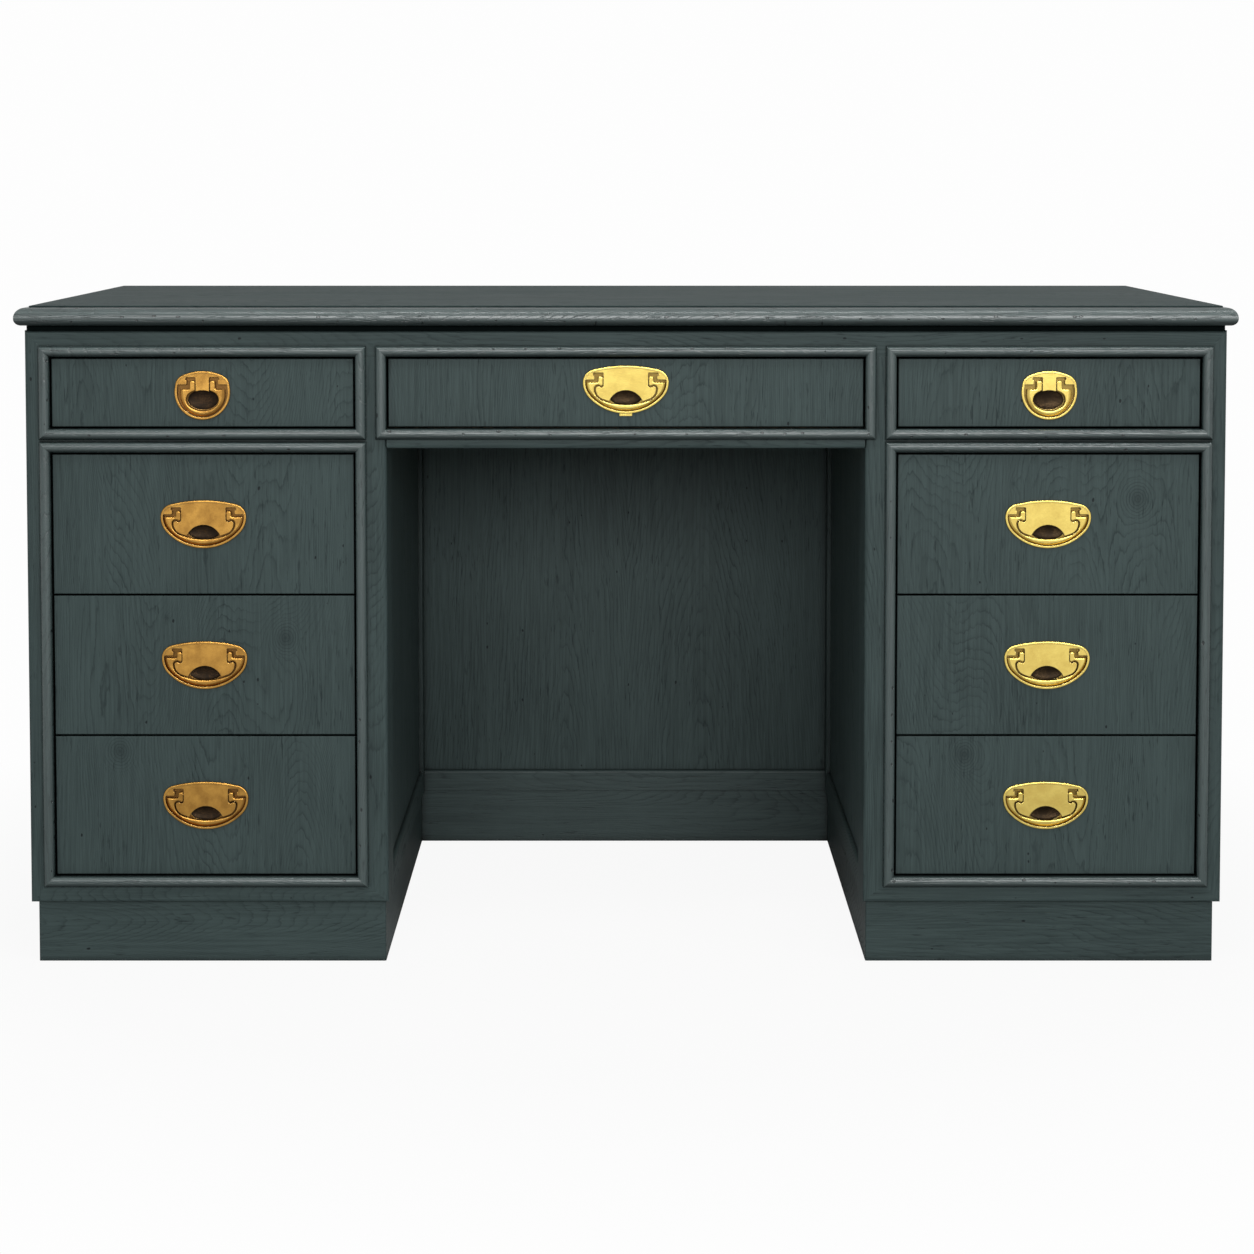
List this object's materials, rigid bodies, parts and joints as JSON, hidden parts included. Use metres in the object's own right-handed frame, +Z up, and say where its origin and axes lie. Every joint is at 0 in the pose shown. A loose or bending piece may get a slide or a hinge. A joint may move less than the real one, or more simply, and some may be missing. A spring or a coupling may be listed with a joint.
{
  "type": "pedestal desk",
  "caption": "Kneehole pedestal desk in dark stained wood, with bead-framed drawers that slide on wooden runners and flush brass pulls with swinging bails",
  "frame": {"origin": "on the floor, under the middle of the desk", "axes": "+X along the width to the sitter's right, -Y out of the front, +Z up"},
  "size_m": [1.3964, 0.66, 0.762],
  "materials": {
    "stained_wood": "blue-green charcoal stain on open grain, satin, worn edges",
    "drawer_wood": "plain oiled hardwood",
    "antique_brass": "aged brass with dark recesses",
    "bright_brass": "polished brass with dark recesses"
  },
  "bodies": {
    "carcass": {"desk_top": "stained_wood", "top_moulding": "stained_wood", "top_spacer": "stained_wood", "front_top_rail": "stained_wood", "apron_rail": "stained_wood", "left_face_frame": "stained_wood", "right_face_frame": "stained_wood", "left_beads": "stained_wood", "right_beads": "stained_wood", "centre_bead": "stained_wood", "left_outer_side": "stained_wood", "left_inner_side": "stained_wood", "left_back": "stained_wood", "left_plinth": "stained_wood", "right_outer_side": "stained_wood", "right_inner_side": "stained_wood", "right_back": "stained_wood", "right_plinth": "stained_wood", "pedestal_floors": "stained_wood", "modesty_panel": "stained_wood", "modesty_rails": "stained_wood", "knee_plinth": "stained_wood", "drawer_runners": "drawer_wood"},
    "left_drawer_top": {"left_drawer_top_front": "stained_wood", "left_drawer_top_box": "drawer_wood", "left_drawer_top_pull_plate": "antique_brass"},
    "left_drawer_top_bail": {"left_drawer_top_pull_bail": "antique_brass"},
    "left_drawer_1": {"left_drawer_1_front": "stained_wood", "left_drawer_1_box": "drawer_wood", "left_drawer_1_pull_plate": "antique_brass"},
    "left_drawer_1_bail": {"left_drawer_1_pull_bail": "antique_brass"},
    "left_drawer_2": {"left_drawer_2_front": "stained_wood", "left_drawer_2_box": "drawer_wood", "left_drawer_2_pull_plate": "antique_brass"},
    "left_drawer_2_bail": {"left_drawer_2_pull_bail": "antique_brass"},
    "left_drawer_3": {"left_drawer_3_front": "stained_wood", "left_drawer_3_box": "drawer_wood", "left_drawer_3_pull_plate": "antique_brass"},
    "left_drawer_3_bail": {"left_drawer_3_pull_bail": "antique_brass"},
    "centre_drawer": {"centre_drawer_front": "stained_wood", "centre_drawer_box": "drawer_wood", "centre_drawer_pull_plate": "bright_brass", "centre_pull_lip": "bright_brass"},
    "centre_drawer_bail": {"centre_drawer_pull_bail": "bright_brass"},
    "right_drawer_top": {"right_drawer_top_front": "stained_wood", "right_drawer_top_box": "drawer_wood", "right_drawer_top_pull_plate": "bright_brass"},
    "right_drawer_top_bail": {"right_drawer_top_pull_bail": "bright_brass"},
    "right_drawer_1": {"right_drawer_1_front": "stained_wood", "right_drawer_1_box": "drawer_wood", "right_drawer_1_pull_plate": "bright_brass"},
    "right_drawer_1_bail": {"right_drawer_1_pull_bail": "bright_brass"},
    "right_drawer_2": {"right_drawer_2_front": "stained_wood", "right_drawer_2_box": "drawer_wood", "right_drawer_2_pull_plate": "bright_brass"},
    "right_drawer_2_bail": {"right_drawer_2_pull_bail": "bright_brass"},
    "right_drawer_3": {"right_drawer_3_front": "stained_wood", "right_drawer_3_box": "drawer_wood", "right_drawer_3_pull_plate": "bright_brass"},
    "right_drawer_3_bail": {"right_drawer_3_pull_bail": "bright_brass"}
  },
  "joints": [
    {"name": "left_drawer_top_slide", "type": "slide", "parent": "carcass", "child": "left_drawer_top", "axis": [0, -1, 0], "range_m": [0, 0.4]},
    {"name": "left_drawer_top_bail_hinge", "type": "hinge", "parent": "left_drawer_top", "child": "left_drawer_top_bail", "pos_m": [-0.48515, -0.3151, 0.673], "axis": [-1, 0, 0], "range_deg": [0, 90]},
    {"name": "left_drawer_1_slide", "type": "slide", "parent": "carcass", "child": "left_drawer_1", "axis": [0, -1, 0], "range_m": [0, 0.4]},
    {"name": "left_drawer_1_bail_hinge", "type": "hinge", "parent": "left_drawer_1", "child": "left_drawer_1_bail", "pos_m": [-0.48515, -0.3151, 0.52333], "axis": [-1, 0, 0], "range_deg": [0, 90]},
    {"name": "left_drawer_2_slide", "type": "slide", "parent": "carcass", "child": "left_drawer_2", "axis": [0, -1, 0], "range_m": [0, 0.4]},
    {"name": "left_drawer_2_bail_hinge", "type": "hinge", "parent": "left_drawer_2", "child": "left_drawer_2_bail", "pos_m": [-0.48515, -0.3151, 0.36], "axis": [-1, 0, 0], "range_deg": [0, 90]},
    {"name": "left_drawer_3_slide", "type": "slide", "parent": "carcass", "child": "left_drawer_3", "axis": [0, -1, 0], "range_m": [0, 0.4]},
    {"name": "left_drawer_3_bail_hinge", "type": "hinge", "parent": "left_drawer_3", "child": "left_drawer_3_bail", "pos_m": [-0.48515, -0.3151, 0.19667], "axis": [-1, 0, 0], "range_deg": [0, 90]},
    {"name": "centre_drawer_slide", "type": "slide", "parent": "carcass", "child": "centre_drawer", "axis": [0, -1, 0], "range_m": [0, 0.4]},
    {"name": "centre_drawer_bail_hinge", "type": "hinge", "parent": "centre_drawer", "child": "centre_drawer_bail", "pos_m": [0, -0.3151, 0.6784], "axis": [-1, 0, 0], "range_deg": [0, 90]},
    {"name": "right_drawer_top_slide", "type": "slide", "parent": "carcass", "child": "right_drawer_top", "axis": [0, -1, 0], "range_m": [0, 0.4]},
    {"name": "right_drawer_top_bail_hinge", "type": "hinge", "parent": "right_drawer_top", "child": "right_drawer_top_bail", "pos_m": [0.48515, -0.3151, 0.673], "axis": [-1, 0, 0], "range_deg": [0, 90]},
    {"name": "right_drawer_1_slide", "type": "slide", "parent": "carcass", "child": "right_drawer_1", "axis": [0, -1, 0], "range_m": [0, 0.4]},
    {"name": "right_drawer_1_bail_hinge", "type": "hinge", "parent": "right_drawer_1", "child": "right_drawer_1_bail", "pos_m": [0.48515, -0.3151, 0.52333], "axis": [-1, 0, 0], "range_deg": [0, 90]},
    {"name": "right_drawer_2_slide", "type": "slide", "parent": "carcass", "child": "right_drawer_2", "axis": [0, -1, 0], "range_m": [0, 0.4]},
    {"name": "right_drawer_2_bail_hinge", "type": "hinge", "parent": "right_drawer_2", "child": "right_drawer_2_bail", "pos_m": [0.48515, -0.3151, 0.36], "axis": [-1, 0, 0], "range_deg": [0, 90]},
    {"name": "right_drawer_3_slide", "type": "slide", "parent": "carcass", "child": "right_drawer_3", "axis": [0, -1, 0], "range_m": [0, 0.4]},
    {"name": "right_drawer_3_bail_hinge", "type": "hinge", "parent": "right_drawer_3", "child": "right_drawer_3_bail", "pos_m": [0.48515, -0.3151, 0.19667], "axis": [-1, 0, 0], "range_deg": [0, 90]}
  ]
}
